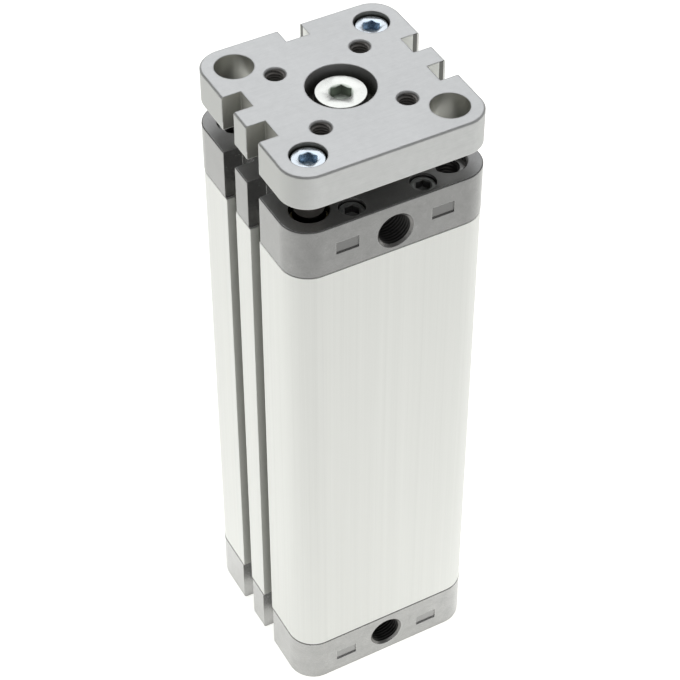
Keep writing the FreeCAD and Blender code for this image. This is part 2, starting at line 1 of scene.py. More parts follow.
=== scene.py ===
import bpy
import json
import math
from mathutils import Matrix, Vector


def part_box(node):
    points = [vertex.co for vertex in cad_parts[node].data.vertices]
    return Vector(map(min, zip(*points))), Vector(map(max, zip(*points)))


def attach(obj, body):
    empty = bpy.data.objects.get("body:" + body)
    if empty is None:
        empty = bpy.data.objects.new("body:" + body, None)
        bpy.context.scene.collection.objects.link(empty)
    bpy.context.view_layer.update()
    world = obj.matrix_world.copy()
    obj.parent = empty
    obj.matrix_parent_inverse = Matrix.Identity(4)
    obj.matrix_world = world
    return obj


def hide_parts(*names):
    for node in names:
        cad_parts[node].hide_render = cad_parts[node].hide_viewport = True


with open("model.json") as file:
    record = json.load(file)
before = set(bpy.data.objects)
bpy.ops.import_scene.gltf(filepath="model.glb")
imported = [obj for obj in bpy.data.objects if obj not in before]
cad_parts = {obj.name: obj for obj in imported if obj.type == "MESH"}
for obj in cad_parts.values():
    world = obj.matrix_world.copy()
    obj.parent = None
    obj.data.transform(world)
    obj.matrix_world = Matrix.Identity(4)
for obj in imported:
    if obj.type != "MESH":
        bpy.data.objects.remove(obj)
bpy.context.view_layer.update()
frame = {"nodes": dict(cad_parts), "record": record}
nodes = frame["nodes"]
slotOf = {row["node"]: row["material_slot"] for row in frame["record"]["subparts"]}
tapped = {row["name"]: row for row in frame["record"]["mounts"] if row["kind"] == "threaded_hole"}
millimetre = 0.001
print("frame loaded,", len(nodes), "pieces")


# node helpers
def addNode(tree, kind, inputs=None, **settings):
    node = tree.nodes.new(kind)
    for key, value in settings.items():
        setattr(node, key, value)
    for key, value in (inputs or {}).items():
        if isinstance(value, bpy.types.NodeSocket):
            tree.links.new(value, node.inputs[key])
        else:
            node.inputs[key].default_value = value
    return node


def math2(tree, operation, first, second=0.0, clamp=False):
    node = addNode(tree, "ShaderNodeMath", {0: first, 1: second}, operation=operation, use_clamp=clamp)
    return node.outputs[0]


def product(tree, first, *others):
    for other in others:
        first = math2(tree, "MULTIPLY", first, other)
    return first


def weighted(tree, first, second, shares):
    parts = [math2(tree, "MULTIPLY", value, share) for value, share in zip((first, second), shares)]
    return math2(tree, "ADD", *parts)


def within(tree, value, middle, reach):
    node = addNode(tree, "ShaderNodeMath", {0: value, 1: middle, 2: reach}, operation="COMPARE")
    return node.outputs[0]


def remap(tree, value, low, high, toLow=0.0, toHigh=1.0):
    spread = addNode(tree, "ShaderNodeMapRange", {"Value": value, "From Min": low, "From Max": high,
                                                  "To Min": toLow, "To Max": toHigh})
    return spread.outputs["Result"]


# a mix node numbers its colour sockets 6, 7 and 2
def blendColours(tree, factor, first, second):
    mix = addNode(tree, "ShaderNodeMix", {0: factor, 6: first, 7: second}, data_type="RGBA")
    return mix.outputs[2]


def objectPlace(tree):
    return addNode(tree, "ShaderNodeTexCoord").outputs["Object"]


def splitUp(tree, vector):
    return addNode(tree, "ShaderNodeSeparateXYZ", {0: vector}).outputs


def faceNormal(tree):
    return splitUp(tree, addNode(tree, "ShaderNodeNewGeometry").outputs["True Normal"])


def farFrom(tree, first, second):
    off = addNode(tree, "ShaderNodeCombineXYZ", {0: first, 1: second}).outputs[0]
    return addNode(tree, "ShaderNodeVectorMath", {0: off}, operation="LENGTH").outputs["Value"]


def addNoise(tree, place, seed, **settings):
    inputs = {"Vector": place, "W": seed, **settings}
    return addNode(tree, "ShaderNodeTexNoise", inputs, noise_dimensions="4D").outputs[0]


number = "NodeSocketFloat"
triple = "NodeSocketVector"


def newGroup(name, inputs, outputs):
    group = bpy.data.node_groups.new(name, "ShaderNodeTree")
    for label, kind, value in inputs:
        socket = group.interface.new_socket(label, in_out="INPUT", socket_type=kind)
        socket.default_value = value
    for label, kind in outputs:
        group.interface.new_socket(label, in_out="OUTPUT", socket_type=kind)
    entry = group.nodes.new("NodeGroupInput")
    leave = group.nodes.new("NodeGroupOutput")
    return group, entry.outputs, leave.inputs


# long thin streaks, as the die and the brush leave them
streakLook = {"broad": {"Scale": 1.0, "Detail": 3.0, "Roughness": 0.6},
              "fine": {"Scale": 7.0, "Detail": 2.0, "Roughness": 0.5}, "shares": (0.6, 0.4)}


def makeStreaks():
    group, given, out = newGroup("streaks", [("Stretch", triple, (1.0, 1.0, 1.0)), ("Seed", number, 0.0)],
                                 [("Shade", number), ("Height", number)])
    spread = addNode(group, "ShaderNodeVectorMath", {0: objectPlace(group), 1: given["Stretch"]},
                     operation="MULTIPLY").outputs[0]
    broad = addNoise(group, spread, given["Seed"], **streakLook["broad"])
    fine = addNoise(group, spread, given["Seed"], **streakLook["fine"])
    group.links.new(weighted(group, broad, fine, streakLook["shares"]), out["Shade"])
    group.links.new(fine, out["Height"])
    return group


# fine grain of a blasted or tumbled casting
grainLook = {"fine": {"Detail": 4.0, "Roughness": 0.65}, "broad": {"Detail": 3.0, "Roughness": 0.55},
             "broadScale": 0.12, "shares": (0.6, 0.4)}


def makeGrain():
    group, given, out = newGroup("grain", [("Scale", number, 2000.0), ("Seed", number, 0.0)],
                                 [("Shade", number), ("Height", number)])
    place = objectPlace(group)
    broadScale = math2(group, "MULTIPLY", given["Scale"], grainLook["broadScale"])
    fine = addNoise(group, place, given["Seed"], Scale=given["Scale"], **grainLook["fine"])
    broad = addNoise(group, place, given["Seed"], Scale=broadScale, **grainLook["broad"])
    group.links.new(weighted(group, fine, broad, grainLook["shares"]), out["Shade"])
    group.links.new(fine, out["Height"])
    return group


# rounded edge normal, and a mask of the edges themselves
edgeLook = {"radius": 0.0003, "samples": 6, "flat": 0.995, "sharp": 0.85}


def makeEdges():
    group, given, out = newGroup("edges", [("Radius", number, edgeLook["radius"])],
                                 [("Mask", number), ("Normal", triple)])
    bevel = addNode(group, "ShaderNodeBevel", {"Radius": given["Radius"]}, samples=edgeLook["samples"])
    rounded = bevel.outputs[0]
    flat = addNode(group, "ShaderNodeNewGeometry").outputs["Normal"]
    facing = addNode(group, "ShaderNodeVectorMath", {0: rounded, 1: flat}, operation="DOT_PRODUCT")
    mask = remap(group, facing.outputs["Value"], edgeLook["flat"], edgeLook["sharp"])
    group.links.new(mask, out["Mask"])
    group.links.new(rounded, out["Normal"])
    return group


wallTilt = 0.5  # a wall's normal has less than this along Z


def onWalls(tree):
    return math2(tree, "LESS_THAN", math2(tree, "ABSOLUTE", faceNormal(tree)["Z"]), wallTilt)


# mask of slots and bores that little light gets into, on their walls only; the finishes paint shade with it
creviceLook = {"reach": 0.006, "open": 0.85, "closed": 0.3, "samples": 6}


def makeCrevice():
    group, given, out = newGroup("crevice", [("Reach", number, creviceLook["reach"]),
                                             ("Open", number, creviceLook["open"]),
                                             ("Closed", number, creviceLook["closed"])], [("Mask", number)])
    shade = addNode(group, "ShaderNodeAmbientOcclusion", {"Distance": given["Reach"]},
                    samples=creviceLook["samples"])
    deep = remap(group, shade.outputs["AO"], given["Open"], given["Closed"])
    group.links.new(product(group, deep, onWalls(group)), out["Mask"])
    return group


# mask of a port's wall, growing with the depth, where the finishes paint shade
portLook = {"radius": 0.00492, "mouth": -0.0273, "deep": -0.0223}


def makePortShade():
    group, given, out = newGroup("portShade", [("Level", number, 0.0), ("Radius", number, portLook["radius"]),
                                               ("Mouth", number, portLook["mouth"]),
                                               ("Deep", number, portLook["deep"])], [("Mask", number)])
    spot = splitUp(group, objectPlace(group))
    reach = farFrom(group, spot["X"], math2(group, "SUBTRACT", spot["Z"], given["Level"]))
    inside = math2(group, "LESS_THAN", reach, given["Radius"])
    depth = remap(group, spot["Y"], given["Mouth"], given["Deep"])
    front = math2(group, "LESS_THAN", spot["Y"], 0.0)
    group.links.new(product(group, depth, inside, front), out["Mask"])
    return group


# masks of the five notches: two on each side and one at the back
notchLook = {"floor": 0.0219, "face": 0.027, "offset": 0.00635, "halfWidth": 0.00325, "slack": 0.0001,
             "facing": 0.7, "mouthDrop": 0.001, "mouthHalf": 0.0006}


def makeNotches():
    group, given, out = newGroup("notches", [("Floor", number, notchLook["floor"]),
                                             ("Face", number, notchLook["face"])],
                                 [("Floors", number), ("Walls", number), ("Mouths", number)])
    spot = splitUp(group, objectPlace(group))
    across = math2(group, "ABSOLUTE", spot["X"])
    along = math2(group, "ABSOLUTE", spot["Y"])
    lowest = math2(group, "SUBTRACT", given["Floor"], notchLook["slack"])

    def cutIn(way):
        aboveFloor = math2(group, "GREATER_THAN", way, lowest)
        underFace = math2(group, "LESS_THAN", way, given["Face"])
        return product(group, aboveFloor, underFace)

    beside = within(group, along, notchLook["offset"], notchLook["halfWidth"])
    sides = product(group, cutIn(across), beside)
    back = product(group, cutIn(spot["Y"]), math2(group, "LESS_THAN", across, notchLook["halfWidth"]))
    normal = faceNormal(group)
    facesX, facesY = (math2(group, "GREATER_THAN", math2(group, "ABSOLUTE", normal[way]), notchLook["facing"])
                      for way in "XY")
    floors = math2(group, "ADD", product(group, sides, facesX), product(group, back, facesY))
    walls = math2(group, "ADD", product(group, sides, facesY), product(group, back, facesX))
    # a strip of the walls just inside the mouth, where a dark strip of shade is painted
    strip = math2(group, "SUBTRACT", given["Face"], notchLook["mouthDrop"])
    mouth = within(group, math2(group, "MAXIMUM", across, along), strip, notchLook["mouthHalf"])
    group.links.new(floors, out["Floors"])
    group.links.new(walls, out["Walls"])
    group.links.new(product(group, walls, mouth), out["Mouths"])
    return group


# mask of the four corner holes, on their walls only
cornerLook = {"middle": 0.019, "radius": 0.00495}


def makeCornerBores():
    group, given, out = newGroup("cornerBores", [("Middle", number, cornerLook["middle"]),
                                                 ("Radius", number, cornerLook["radius"])],
                                 [("Mask", number)])
    folded = addNode(group, "ShaderNodeVectorMath", {0: objectPlace(group)}, operation="ABSOLUTE").outputs[0]
    spot = splitUp(group, folded)
    reach = farFrom(group, *(math2(group, "SUBTRACT", spot[way], given["Middle"]) for way in "XY"))
    inside = math2(group, "LESS_THAN", reach, given["Radius"])
    group.links.new(product(group, inside, onWalls(group)), out["Mask"])
    return group


streaks = makeStreaks()
grain = makeGrain()
edges = makeEdges()
crevice = makeCrevice()
portShade = makePortShade()
notches = makeNotches()
cornerBores = makeCornerBores()


def useGroup(tree, group, **inputs):
    node = addNode(tree, "ShaderNodeGroup", node_tree=group)
    for key, value in inputs.items():
        node.inputs[key].default_value = value
    return node.outputs


# finish helpers
def newFinish(name, **fixed):
    material = bpy.data.materials.new(name)
    material.use_nodes = True
    shader = material.node_tree.nodes["Principled BSDF"]
    for key, value in fixed.items():
        shader.inputs[key.replace("_", " ")].default_value = value
    return material, material.node_tree, shader


bumpDistance = 0.0001


def coatSurface(tree, shader, colour, rough, strength, height, normal=None):
    tree.links.new(colour, shader.inputs["Base Color"])
    tree.links.new(rough, shader.inputs["Roughness"])
    bump = addNode(tree, "ShaderNodeBump", {"Strength": strength, "Distance": bumpDistance, "Height": height})
    if normal is not None:
        tree.links.new(normal, bump.inputs["Normal"])
    tree.links.new(bump.outputs[0], shader.inputs["Normal"])


def grey(level, warm=0.0):
    return (level * (1 + warm), level, level * (1 - warm), 1.0)


# clear anodised extrusion
barrelLook = {"light": (0.935, 0.94, 0.915, 1.0), "dark": (0.86, 0.865, 0.84, 1.0), "metallic": 0.35,
              "stretch": (900.0, 900.0, 3.0), "seed": 1.0, "spread": (0.3, 0.7), "rough": (0.42, 0.5),
              "bump": 0.05, "cuts": {"Floor": 0.0221, "Face": 0.02715},
              "slotSide": (0.8, 0.805, 0.77, 1.0), "slot": (0.22, 0.222, 0.2, 1.0)}


def barrelFinish():
    material, tree, shader = newFinish("anodisedBarrel", Metallic=barrelLook["metallic"])
    lines = useGroup(tree, streaks, Stretch=barrelLook["stretch"], Seed=barrelLook["seed"])
    edge = useGroup(tree, edges)
    tone = remap(tree, lines["Shade"], *barrelLook["spread"])
    colour = blendColours(tree, tone, barrelLook["dark"], barrelLook["light"])
    # painted shade: the slots' walls and floors darker, and darker still deep in, where the crevice mask is
    cuts = useGroup(tree, notches, **barrelLook["cuts"])
    inside = math2(tree, "ADD", cuts["Floors"], cuts["Walls"], clamp=True)
    colour = blendColours(tree, inside, colour, barrelLook["slotSide"])
    deep = useGroup(tree, crevice)
    colour = blendColours(tree, deep["Mask"], colour, barrelLook["slot"])
    rough = remap(tree, lines["Shade"], *barrelLook["spread"], *barrelLook["rough"])
    coatSurface(tree, shader, colour, rough, barrelLook["bump"], lines["Height"], edge["Normal"])
    return material


# tumbled die castings
capLook = {"metallic": 0.8, "grainScale": 2400.0, "spread": (0.35, 0.65), "grain": (0.87, 1.12),
           "warm": 0.005, "worn": 1.5, "rough": (0.2, 0.28), "topRough": 0.44, "bump": 0.05, "facing": 0.9,
           "panelSpan": (0.0002, 0.0006), "panelReach": 0.017, "bore": (0.02, 0.02, 0.014, 1.0),
           "boreShade": {"Open": 0.5, "Closed": 0.2}}
# the two caps are a shaded and a lit copy of one finish: the bearing cap's level and panel are painted darker
capSets = {
    "bearing_cap": {"finish": "bearingCap", "level": 0.3, "panel": 0.68, "seed": 7.0, "port": "front_port"},
    "end_cap": {"finish": "endCap", "level": 0.46, "panel": 0.8, "seed": 8.0, "port": "rear_port"},
}


def capFinish(nodeName):
    capSet = capSets[nodeName]
    material, tree, shader = newFinish(capSet["finish"], Metallic=capLook["metallic"])
    speck = useGroup(tree, grain, Scale=capLook["grainScale"], Seed=capSet["seed"])
    edge = useGroup(tree, edges)
    spot = splitUp(tree, objectPlace(tree))
    normal = faceNormal(tree)

    def shade(share):
        return grey(capSet["level"] * share, capLook["warm"])

    tone = remap(tree, speck["Shade"], *capLook["spread"])
    colour = blendColours(tree, tone, *(shade(share) for share in capLook["grain"]))
    # floors of the shallow panels beside the port
    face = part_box(nodeName)[0].y
    shallow, sunken = capLook["panelSpan"]
    sunk = within(tree, spot["Y"], face + (shallow + sunken) / 2, (sunken - shallow) / 2)
    beside = math2(tree, "LESS_THAN", math2(tree, "ABSOLUTE", spot["X"]), capLook["panelReach"])
    forward = math2(tree, "LESS_THAN", normal["Y"], -capLook["facing"])
    colour = blendColours(tree, product(tree, sunk, beside, forward), colour, shade(capSet["panel"]))
    # edges lighter: wear, and a painted highlight on the rims
    colour = blendColours(tree, edge["Mask"], colour, shade(capLook["worn"]))
    # painted shade: the bores' walls darken inwards, then the port darkens with its depth
    deep = useGroup(tree, crevice, **capLook["boreShade"])
    colour = blendColours(tree, deep["Mask"], colour, capLook["bore"])
    port = useGroup(tree, portShade, Level=tapped[capSet["port"]]["pos_m"][2])
    colour = blendColours(tree, port["Mask"], colour, capLook["bore"])
    # the top is rougher than the sides
    rough = remap(tree, speck["Shade"], *capLook["spread"], *capLook["rough"])
    top = math2(tree, "GREATER_THAN", normal["Z"], capLook["facing"])
    rough = remap(tree, top, 0.0, 1.0, rough, capLook["topRough"])
    coatSurface(tree, shader, colour, rough, capLook["bump"], speck["Height"], edge["Normal"])
    return material


# milled and anodised plate
plateLook = {"light": (0.7, 0.705, 0.705, 1.0), "dark": (0.61, 0.615, 0.615, 1.0), "metallic": 0.8,
             "stretch": (150.0, 2500.0, 2500.0), "lineSeed": 4.0, "lineSpread": (0.3, 0.7),
             "blotch": 450.0, "blotchSeed": 5.0, "shares": (0.5, 0.5), "spread": (0.38, 0.62),
             "rough": (0.52, 0.6), "bump": 0.04,
             "edge": 0.0005, "worn": (0.95, 0.95, 0.93, 1.0), "wornShare": 0.25,
             "side": (0.56, 0.565, 0.555, 1.0), "sideSpan": (0.2, 1.0),
             "notchFloor": (0.5, 0.5, 0.47, 1.0), "notchLow": (0.27, 0.27, 0.25, 1.0),
             "notchHigh": (0.62, 0.62, 0.58, 1.0), "notchLit": (0.9, 0.905, 0.88, 1.0),
             "litSpan": (-0.015, -0.005), "mouth": (0.22, 0.22, 0.21, 1.0),
             "bed": (0.16, 0.16, 0.14, 1.0), "bedDepth": 0.002, "bedFacing": 0.5,
             "hole": (0.6, 0.6, 0.56, 1.0), "holeRough": 0.36, "bore": (0.1, 0.1, 0.085, 1.0),
             "boreShade": {"Reach": 0.005, "Open": 0.55, "Closed": 0.25}}


def plateFinish():
    material, tree, shader = newFinish("milledYoke", Metallic=plateLook["metallic"])
    lines = useGroup(tree, streaks, Stretch=plateLook["stretch"], Seed=plateLook["lineSeed"])
    blotch = useGroup(tree, grain, Scale=plateLook["blotch"], Seed=plateLook["blotchSeed"])
    edge = useGroup(tree, edges, Radius=plateLook["edge"])
    spot = splitUp(tree, objectPlace(tree))
    normal = faceNormal(tree)
    low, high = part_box("yoke_plate")
    mixed = weighted(tree, lines["Shade"], blotch["Shade"], plateLook["shares"])
    tone = remap(tree, mixed, *plateLook["spread"])
    colour = blendColours(tree, tone, plateLook["dark"], plateLook["light"])
    # painted shade: the sides facing along X darker than the top
    shadedSides = remap(tree, math2(tree, "ABSOLUTE", normal["X"]), *plateLook["sideSpan"])
    colour = blendColours(tree, shadedSides, colour, plateLook["side"])
    # notches, painted light and shade: the floors darker, the left pair's walls darker, most of all at their
    # lower end, the other walls lit, and a strip of shade just inside the mouths of the lit walls
    cuts = useGroup(tree, notches)
    colour = blendColours(tree, cuts["Floors"], colour, plateLook["notchFloor"])
    rise = remap(tree, spot["Z"], low.z, high.z)
    shaded = blendColours(tree, rise, plateLook["notchLow"], plateLook["notchHigh"])
    lit = remap(tree, spot["X"], *plateLook["litSpan"])
    colour = blendColours(tree, cuts["Walls"], colour, blendColours(tree, lit, shaded, plateLook["notchLit"]))
    colour = blendColours(tree, product(tree, cuts["Mouths"], lit), colour, plateLook["mouth"])
    # painted highlight along the lower edges
    under = math2(tree, "LESS_THAN", rise, plateLook["wornShare"])
    colour = blendColours(tree, product(tree, edge["Mask"], under), colour, plateLook["worn"])
    # floors of the screw beds, painted dark as shade
    below = math2(tree, "LESS_THAN", spot["Z"], high.z - plateLook["bedDepth"])
    upward = math2(tree, "GREATER_THAN", normal["Z"], plateLook["bedFacing"])
    colour = blendColours(tree, product(tree, below, upward), colour, plateLook["bed"])
    # corner holes, then painted shade darkening every bore inwards
    holes = useGroup(tree, cornerBores)
    colour = blendColours(tree, holes["Mask"], colour, plateLook["hole"])
    deep = useGroup(tree, crevice, **plateLook["boreShade"])
    colour = blendColours(tree, deep["Mask"], colour, plateLook["bore"])
    rough = remap(tree, lines["Shade"], *plateLook["lineSpread"], *plateLook["rough"])
    rough = remap(tree, holes["Mask"], 0.0, 1.0, rough, plateLook["holeRough"])
    coatSurface(tree, shader, colour, rough, plateLook["bump"], lines["Height"], edge["Normal"])
    return material


# screws, threads, rods, bushes, seals and piston: turning lines where a lay is given, else a fine grain
ringLay = (60.0, 60.0, 6000.0)
simpleLooks = {
    "turned_aluminium": {"light": grey(0.72), "dark": grey(0.62), "metallic": 1.0, "rough": (0.25, 0.38),
                         "lay": ringLay},
    "zinc_steel": {"light": (0.54, 0.58, 0.62, 1.0), "dark": (0.46, 0.5, 0.54, 1.0), "metallic": 1.0,
                   "rough": (0.22, 0.34)},
    # socket of the zinc screws: painted lighter and bluer than the head, as painted sheen
    "zinc_socket": {"light": (0.58, 0.68, 0.77, 1.0), "dark": (0.49, 0.59, 0.69, 1.0), "metallic": 1.0,
                    "rough": (0.22, 0.34)},
    "bright_zinc": {"light": (0.63, 0.635, 0.61, 1.0), "dark": (0.5, 0.505, 0.485, 1.0), "metallic": 1.0,
                    "rough": (0.24, 0.36)},
    # socket of the yoke screw: painted darker and greener than the head, as painted shade
    "bright_socket": {"light": (0.58, 0.62, 0.56, 1.0), "dark": (0.46, 0.5, 0.45, 1.0), "metallic": 1.0,
                      "rough": (0.3, 0.45)},
    # bearing cap screws: dull zinc, painted a little darker for the shade under the yoke
    "dull_zinc": {"light": (0.54, 0.55, 0.545, 1.0), "dark": (0.44, 0.45, 0.445, 1.0), "metallic": 1.0,
                  "rough": (0.28, 0.4)},
    # socket of the bearing cap screws: painted dark, as painted shade
    "dull_socket": {"light": grey(0.32), "dark": grey(0.24), "metallic": 1.0, "rough": (0.3, 0.45)},
    # guide rods: ground steel, darker than chrome, and painted darker still for the shade under the yoke
    "ground_rod": {"light": grey(0.36, 0.06), "dark": grey(0.3, 0.06), "metallic": 1.0, "rough": (0.1, 0.18),
                   "lay": ringLay},
    # thread ridges of the caps' holes: painted dark, as the shade inside the holes
    "tapped_wall": {"light": grey(0.1, 0.02), "dark": grey(0.06, 0.02), "metallic": 0.8,
                    "rough": (0.35, 0.5)},
    # countersinks of the ports: painted darker than the cap, as painted shade
    "port_mouth": {"light": grey(0.25, 0.02), "dark": grey(0.19, 0.02), "metallic": 0.8,
                   "rough": (0.25, 0.35)},
    # thread ridges of the yoke's holes: painted darker than the plate, as the shade inside the holes
    "tapped_plate": {"light": grey(0.38, 0.05), "dark": grey(0.28, 0.05), "metallic": 0.8,
                     "rough": (0.35, 0.5)},
    "hard_chrome": {"light": grey(0.72), "dark": grey(0.66), "metallic": 1.0, "rough": (0.06, 0.12),
                    "lay": ringLay, "bump": 0.01},
    "bearing_bronze": {"light": (0.66, 0.56, 0.34, 1.0), "dark": (0.5, 0.43, 0.26, 1.0), "metallic": 0.9,
                       "rough": (0.35, 0.55)},
    "seal_rubber": {"light": grey(0.035), "dark": grey(0.02), "metallic": 0.0, "rough": (0.5, 0.7)},
    "band_plastic": {"light": grey(0.72, 0.05), "dark": grey(0.62, 0.06), "metallic": 0.0,
                     "rough": (0.4, 0.55)},
    "magnet": {"light": grey(0.09), "dark": grey(0.06), "metallic": 0.1, "rough": (0.5, 0.7)},
}
simpleShared = {"grainScale": 1500.0, "spread": (0.35, 0.65), "bump": 0.03, "firstSeed": 10}


def simpleFinish(name, look, seed):
    material, tree, shader = newFinish(name, Metallic=look["metallic"])
    if "lay" in look:
        speck = useGroup(tree, streaks, Stretch=look["lay"], Seed=seed)
    else:
        speck = useGroup(tree, grain, Scale=simpleShared["grainScale"], Seed=seed)
    tone = remap(tree, speck["Shade"], *simpleShared["spread"])
    colour = blendColours(tree, tone, look["dark"], look["light"])
    rough = remap(tree, speck["Shade"], *simpleShared["spread"], *look["rough"])
    coatSurface(tree, shader, colour, rough, look.get("bump", simpleShared["bump"]), speck["Height"])
    return material


finishes = {"anodised_barrel": barrelFinish(), "milled_yoke": plateFinish()}
for seed, (slotName, look) in enumerate(simpleLooks.items(), start=simpleShared["firstSeed"]):
    finishes[slotName] = simpleFinish(slotName, look, float(seed))
ownFinishes = {nodeName: capFinish(nodeName) for nodeName in capSets}
for nodeName in ("guide_rod_near", "guide_rod_far"):
    ownFinishes[nodeName] = finishes["ground_rod"]
for nodeName, node in nodes.items():
    node.data.materials.clear()
    node.data.materials.append(ownFinishes.get(nodeName) or finishes[slotOf[nodeName]])
print("finishes set")


# modelling helpers: a piece is shaped in millimetres, then copied to its place in metres
selectModes = {"vertices": (True, False, False), "polygons": (False, False, True)}
flatLimit = 0.9  # least share of Z in the normal of a face that lies flat
sideLimit = 0.05  # most share of Z in the normal of a face that stands upright
smoothAngle = math.radians(30)
origin = (0.0, 0.0, 0.0)


def startClean():
    if bpy.context.mode != "OBJECT":
        bpy.ops.object.mode_set(mode="OBJECT")
    bpy.ops.object.select_all(action="DESELECT")


def makeActive(piece):
    startClean()
    piece.select_set(True)
    bpy.context.view_layer.objects.active = piece


def pick(piece, kind, wanted):
    bpy.ops.object.mode_set(mode="OBJECT")
    bpy.context.tool_settings.mesh_select_mode = selectModes[kind]
    mesh = piece.data
    for rows in (mesh.vertices, mesh.edges, mesh.polygons):
        rows.foreach_set("select", [False] * len(rows))
    for row in getattr(mesh, kind):
        row.select = wanted(row)
    bpy.ops.object.mode_set(mode="EDIT")


def facesUp(row):
    return row.normal.z > flatLimit


def facesDown(row):
    return row.normal.z < -flatLimit


def facesOut(row):
    return abs(row.normal.z) < sideLimit


def pullOut(way, size=1.0):
    bpy.ops.mesh.extrude_region_move(TRANSFORM_OT_translate={"value": way})
    bpy.ops.transform.resize(value=(size, size, 1.0), center_override=origin)


def useModifier(piece, kind, **settings):
    bpy.ops.object.modifier_add(type=kind)
    modifier = piece.modifiers[-1]
    for key, value in settings.items():
        setattr(modifier, key, value)
    bpy.ops.object.modifier_apply(modifier=modifier.name)


def cutWith(piece, cutter):
    makeActive(piece)
    useModifier(piece, "BOOLEAN", operation="DIFFERENCE", solver="EXACT", object=cutter)
    bpy.data.objects.remove(cutter)


# upright section in the XZ plane, left in edit mode with all of it selected
def startSection(low, high, bottom, top):
    startClean()
    bpy.ops.mesh.primitive_plane_add(size=1.0, rotation=(math.pi / 2, 0.0, 0.0))
    section = bpy.context.object
    bpy.ops.object.transform_apply(location=True, rotation=True, scale=True)
    bpy.ops.object.mode_set(mode="EDIT")
    bpy.ops.mesh.select_all(action="SELECT")
    bpy.ops.transform.resize(value=(high - low, 1.0, top - bottom))
    bpy.ops.transform.translate(value=((low + high) / 2, 0.0, (bottom + top) / 2))
    return section


def placeCopy(model, name, place, turn, body, slotName, *coats):
    copy = model.copy()
    copy.data = model.data.copy()
    copy.name = name
    bpy.context.scene.collection.objects.link(copy)
    makeActive(copy)
    copy.location = place
    copy.rotation_euler = turn
    copy.scale = (millimetre, millimetre, millimetre)
    bpy.ops.object.transform_apply(location=True, rotation=True, scale=True)
    for index, coat in enumerate(coats):
        if index == len(copy.data.materials):
            copy.data.materials.append(coat)
        copy.data.materials[index] = coat
    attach(copy, body)
    return copy


# thread ridges: one section swept up a helix
ridgeLook = {"footShare": 0.88, "crestShare": 0.14, "sink": 0.03, "steps": 40, "runOut": 8}
sectionCorners = 4


def makeRidge(radius, pitch, depth, turns, inward):
    sink = ridgeLook["sink"]
    low, high = (radius - depth, radius + sink) if inward else (radius - depth - sink, radius)
    middle = (low + high) / 2
    foot = pitch * ridgeLook["footShare"]
    ridge = startSection(low, high, -foot / 2, foot / 2)
    pick(ridge, "vertices", lambda row: (row.co.x < middle) == inward)
    narrow = ridgeLook["crestShare"] / ridgeLook["footShare"]
    bpy.ops.transform.resize(value=(1.0, 1.0, narrow), center_override=origin)
    bpy.ops.mesh.select_all(action="SELECT")
    bpy.ops.mesh.delete(type="ONLY_FACE")
    bpy.ops.object.mode_set(mode="OBJECT")
    useModifier(ridge, "SCREW", axis="Z", screw_offset=pitch, iterations=turns, steps=ridgeLook["steps"],
                render_steps=ridgeLook["steps"])
    # both ends of the crest run out into the wall
    lastSection = len(ridge.data.vertices) // sectionCorners - 1
    crest = low if inward else high

    def fromEnd(row):
        section = row.index // sectionCorners
        return min(section, lastSection - section)

    for step in range(ridgeLook["runOut"]):
        pick(ridge, "vertices", lambda row: fromEnd(row) == step and (row.co.xy.length < middle) == inward)
        shift = depth * (1.0 - step / ridgeLook["runOut"])
        reach = 1.0 + (shift if inward else -shift) / crest
        bpy.ops.transform.resize(value=(reach, reach, 1.0), center_override=origin)
    bpy.ops.mesh.select_all(action="SELECT")
    bpy.ops.mesh.fill_holes(sides=sectionCorners)
    bpy.ops.mesh.normals_make_consistent(inside=False)
    bpy.ops.object.mode_set(mode="OBJECT")
    return ridge


# tapped holes, with the drop from the face to the first turn
tappings = {
    "ports": {"pitch": 0.907, "depth": 0.56, "drop": 1.1, "finish": "tapped_wall",
              "holes": {"front_port": "bearing_cap", "rear_port": "end_cap"}},
    "mountHoles": {"pitch": 1.0, "depth": 0.52, "drop": 2.6, "finish": "tapped_wall",
                   "holes": {"front_thread": "bearing_cap", "rear_thread": "end_cap"}},
    "yokeHoles": {"pitch": 0.8, "depth": 0.42, "drop": 0.75, "finish": "tapped_plate",
                  "holes": {"yoke_thread": "yoke_plate"}},
}
bodyOf = {"bearing_cap": "cylinder", "end_cap": "cylinder", "yoke_plate": "rod"}


def makeTapping(tapping):
    wanted = [(name, carrier) for start, carrier in tapping["holes"].items()
              for name in tapped if name.startswith(start)]
    sizes = tapped[wanted[0][0]]["dims"]
    turns = int(sizes["length_mm"] / tapping["pitch"]) - 1
    model = makeRidge(sizes["r_mm"], tapping["pitch"], tapping["depth"], turns, True)
    bpy.ops.object.shade_smooth_by_angle(angle=smoothAngle)
    for name, carrier in wanted:
        way = Vector(tapped[name]["axis"])
        spot = Vector(tapped[name]["pos_m"])
        face = max(corner.dot(way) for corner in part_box(carrier))
        mouth = spot + way * (face - spot.dot(way) - tapping["drop"] * millimetre)
        turn = (-way).to_track_quat("Z", "X").to_euler()
        placeCopy(model, name + "_ridge", mouth, turn, bodyOf[carrier], slotOf[carrier],
                  finishes[tapping["finish"]])
    bpy.data.objects.remove(model)


for tapping in tappings.values():
    makeTapping(tapping)
print("threads cut")


# countersunk mouths of the ports: one section spun round the port's axis
mouthLook = {"start": 0.12, "end": 0.6, "width": 0.56, "sink": 0.03, "edgeShare": 0.02, "steps": 64,
             "merge": 0.001}


